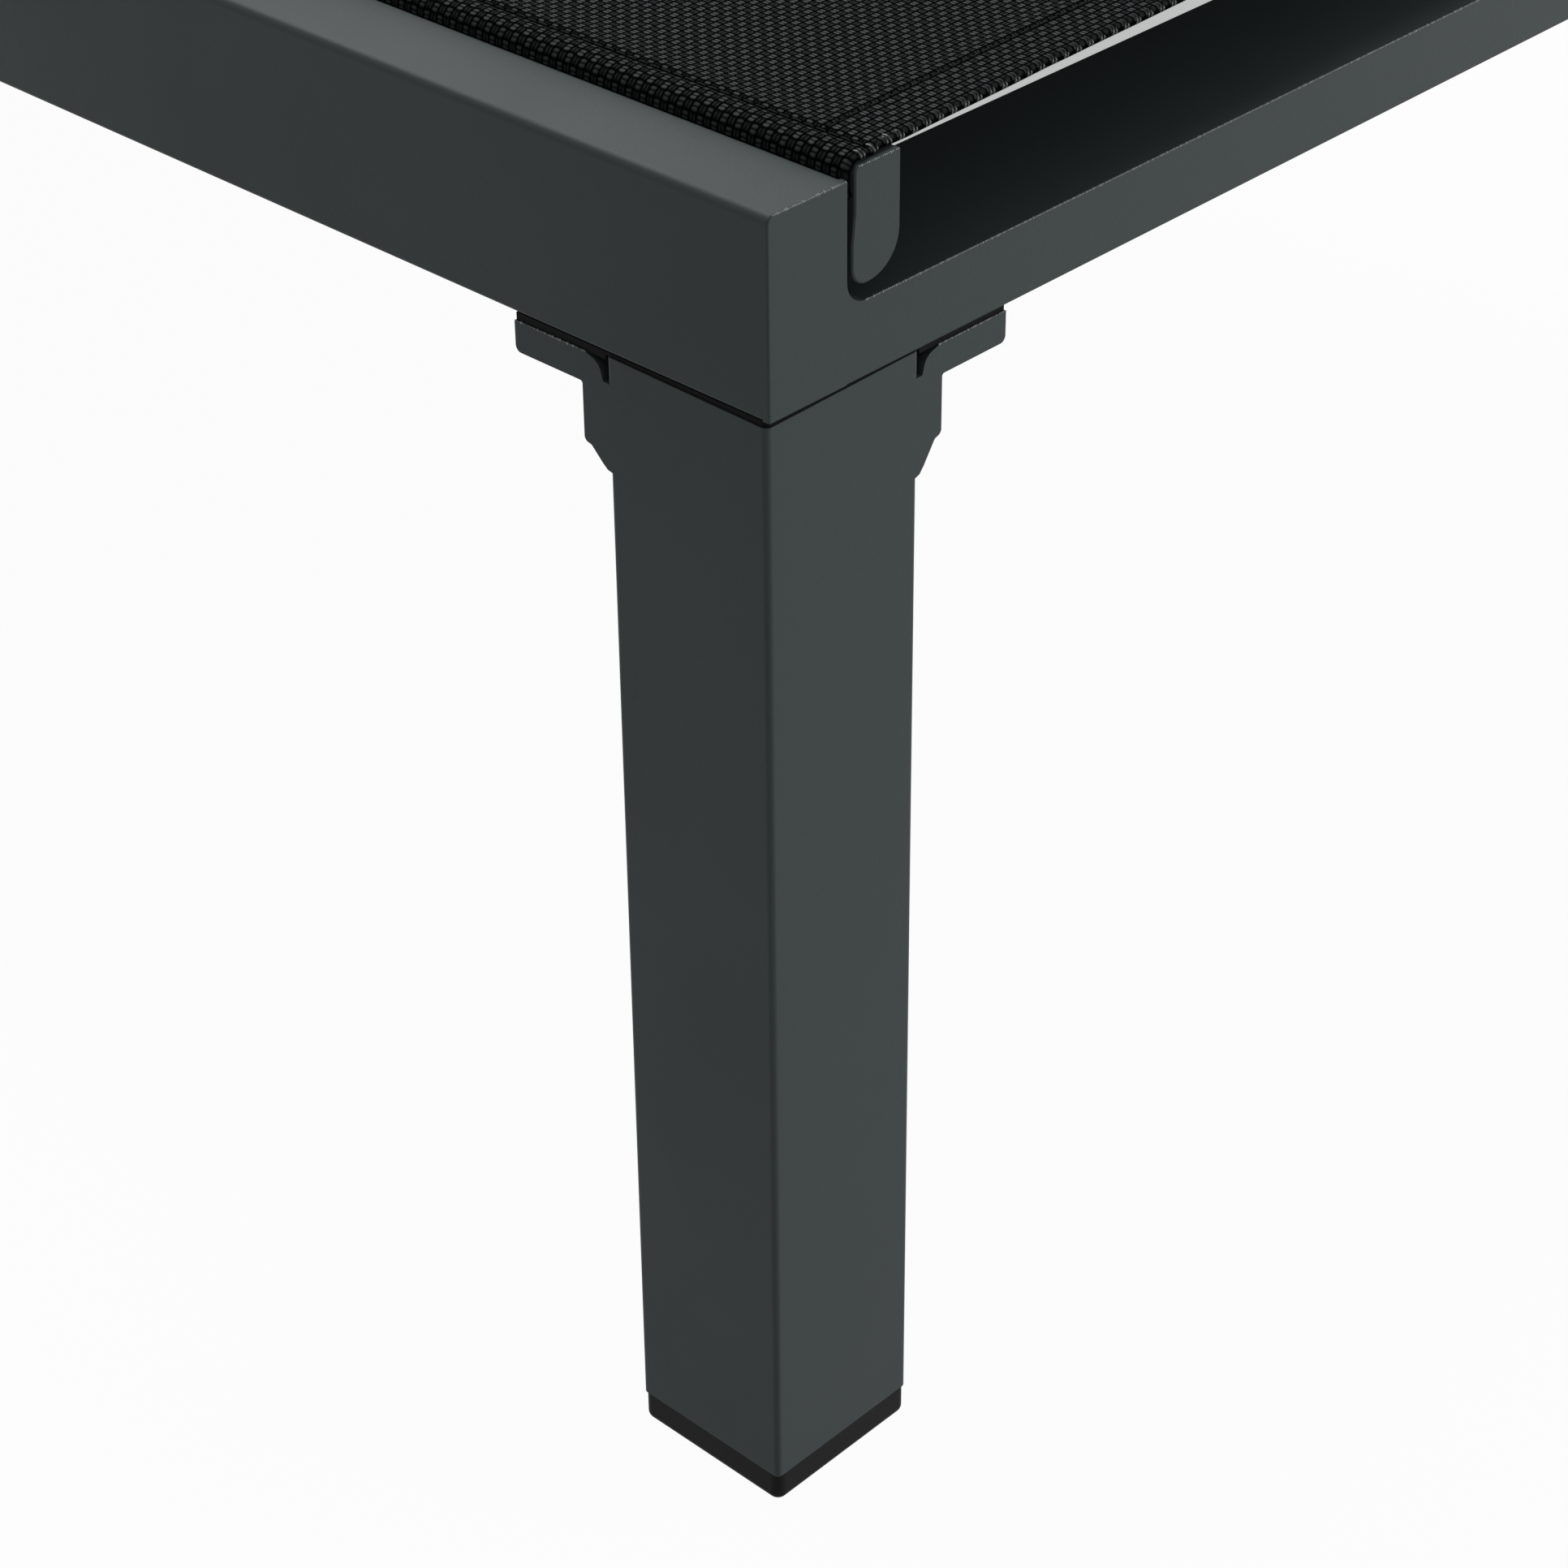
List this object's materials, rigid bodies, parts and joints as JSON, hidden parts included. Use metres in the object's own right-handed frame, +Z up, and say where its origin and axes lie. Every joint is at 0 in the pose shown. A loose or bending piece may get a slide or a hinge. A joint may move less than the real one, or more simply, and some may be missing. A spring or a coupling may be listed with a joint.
{
  "type": "reclining sun lounger",
  "caption": "Low reclining sun lounger: straight metal frame on square bolted legs, woven mesh sling seat and a sling backrest propped by a swinging stay on notched racks.",
  "frame": {"origin": "on the floor, at the middle of the length and the width", "axes": "+Z up, +Y towards the head end along the length, +X to the left of a person lying on it"},
  "size_m": [0.6472, 1.95, 0.3086],
  "materials": {
    "frame_coating": "powder-coated satin anthracite",
    "rack_metal": "powder-coated satin anthracite",
    "sling_cloth": "coated woven mesh, black, satin",
    "black_plastic": "moulded, fine matt grain",
    "bush_plastic": "smooth, matt",
    "cord_plastic": "smooth, matt",
    "black_rubber": "matt",
    "stainless_steel": "satin"
  },
  "bodies": {
    "frame": {"bumpers": "black_rubber", "cross_rail_hinge": "frame_coating", "cross_rail_seat": "frame_coating", "foot_cap_foot_left": "black_plastic", "foot_cap_foot_right": "black_plastic", "foot_cap_head_left": "black_plastic", "foot_cap_head_right": "black_plastic", "foot_end_rail": "frame_coating", "head_end_rail": "frame_coating", "hinge_bolts": "stainless_steel", "hinge_nuts": "stainless_steel", "leg_brackets_foot_left": "frame_coating", "leg_brackets_foot_right": "frame_coating", "leg_brackets_head_left": "frame_coating", "leg_brackets_head_right": "frame_coating", "leg_foot_left": "frame_coating", "leg_foot_right": "frame_coating", "leg_head_left": "frame_coating", "leg_head_right": "frame_coating", "leg_nuts": "stainless_steel", "leg_screws": "stainless_steel", "leg_top_plugs": "black_plastic", "rack_left": "rack_metal", "rack_right": "rack_metal", "rack_rivets": "stainless_steel", "rail_end_plates": "frame_coating", "seat_nuts": "stainless_steel", "seat_rail_caps": "frame_coating", "seat_rail_left": "frame_coating", "seat_rail_right": "frame_coating", "seat_screws": "stainless_steel", "seat_sling": "sling_cloth", "seat_sling_cords": "cord_plastic", "seat_spreader_1": "frame_coating", "seat_spreader_2": "frame_coating", "seat_spreader_3": "frame_coating", "side_rail_left": "frame_coating", "side_rail_right": "frame_coating"},
    "backrest": {"back_rail_caps": "frame_coating", "back_rail_left": "frame_coating", "back_rail_right": "frame_coating", "back_sling": "sling_cloth", "back_sling_cords": "cord_plastic", "back_spreader_lower": "frame_coating", "back_spreader_middle": "frame_coating", "back_spreader_top": "frame_coating", "hinge_bushes": "bush_plastic", "hinge_lug_left": "frame_coating", "hinge_lug_right": "frame_coating", "stay_bracket_left": "frame_coating", "stay_bracket_right": "frame_coating", "stay_pin_caps": "black_plastic", "stay_pins": "stainless_steel"},
    "stay": {"stay_arm_left": "frame_coating", "stay_arm_right": "frame_coating", "stay_brace": "frame_coating", "stay_bushes": "bush_plastic", "stay_foot_bar": "stainless_steel", "stay_sleeves": "bush_plastic"}
  },
  "joints": [
    {"name": "backrest_hinge", "type": "hinge", "parent": "frame", "child": "backrest", "pos_m": [0, 0.23, 0.2777], "axis": [1, 0, 0], "range_deg": [0, 70]},
    {"name": "stay_pivot", "type": "hinge", "parent": "backrest", "child": "stay", "pos_m": [0, 0.565, 0.2812], "axis": [1, 0, 0], "range_deg": [-140, 0]}
  ],
  "couplings": [
    {"joint": "stay_pivot", "follows": "backrest_hinge", "ratio": -2}
  ]
}
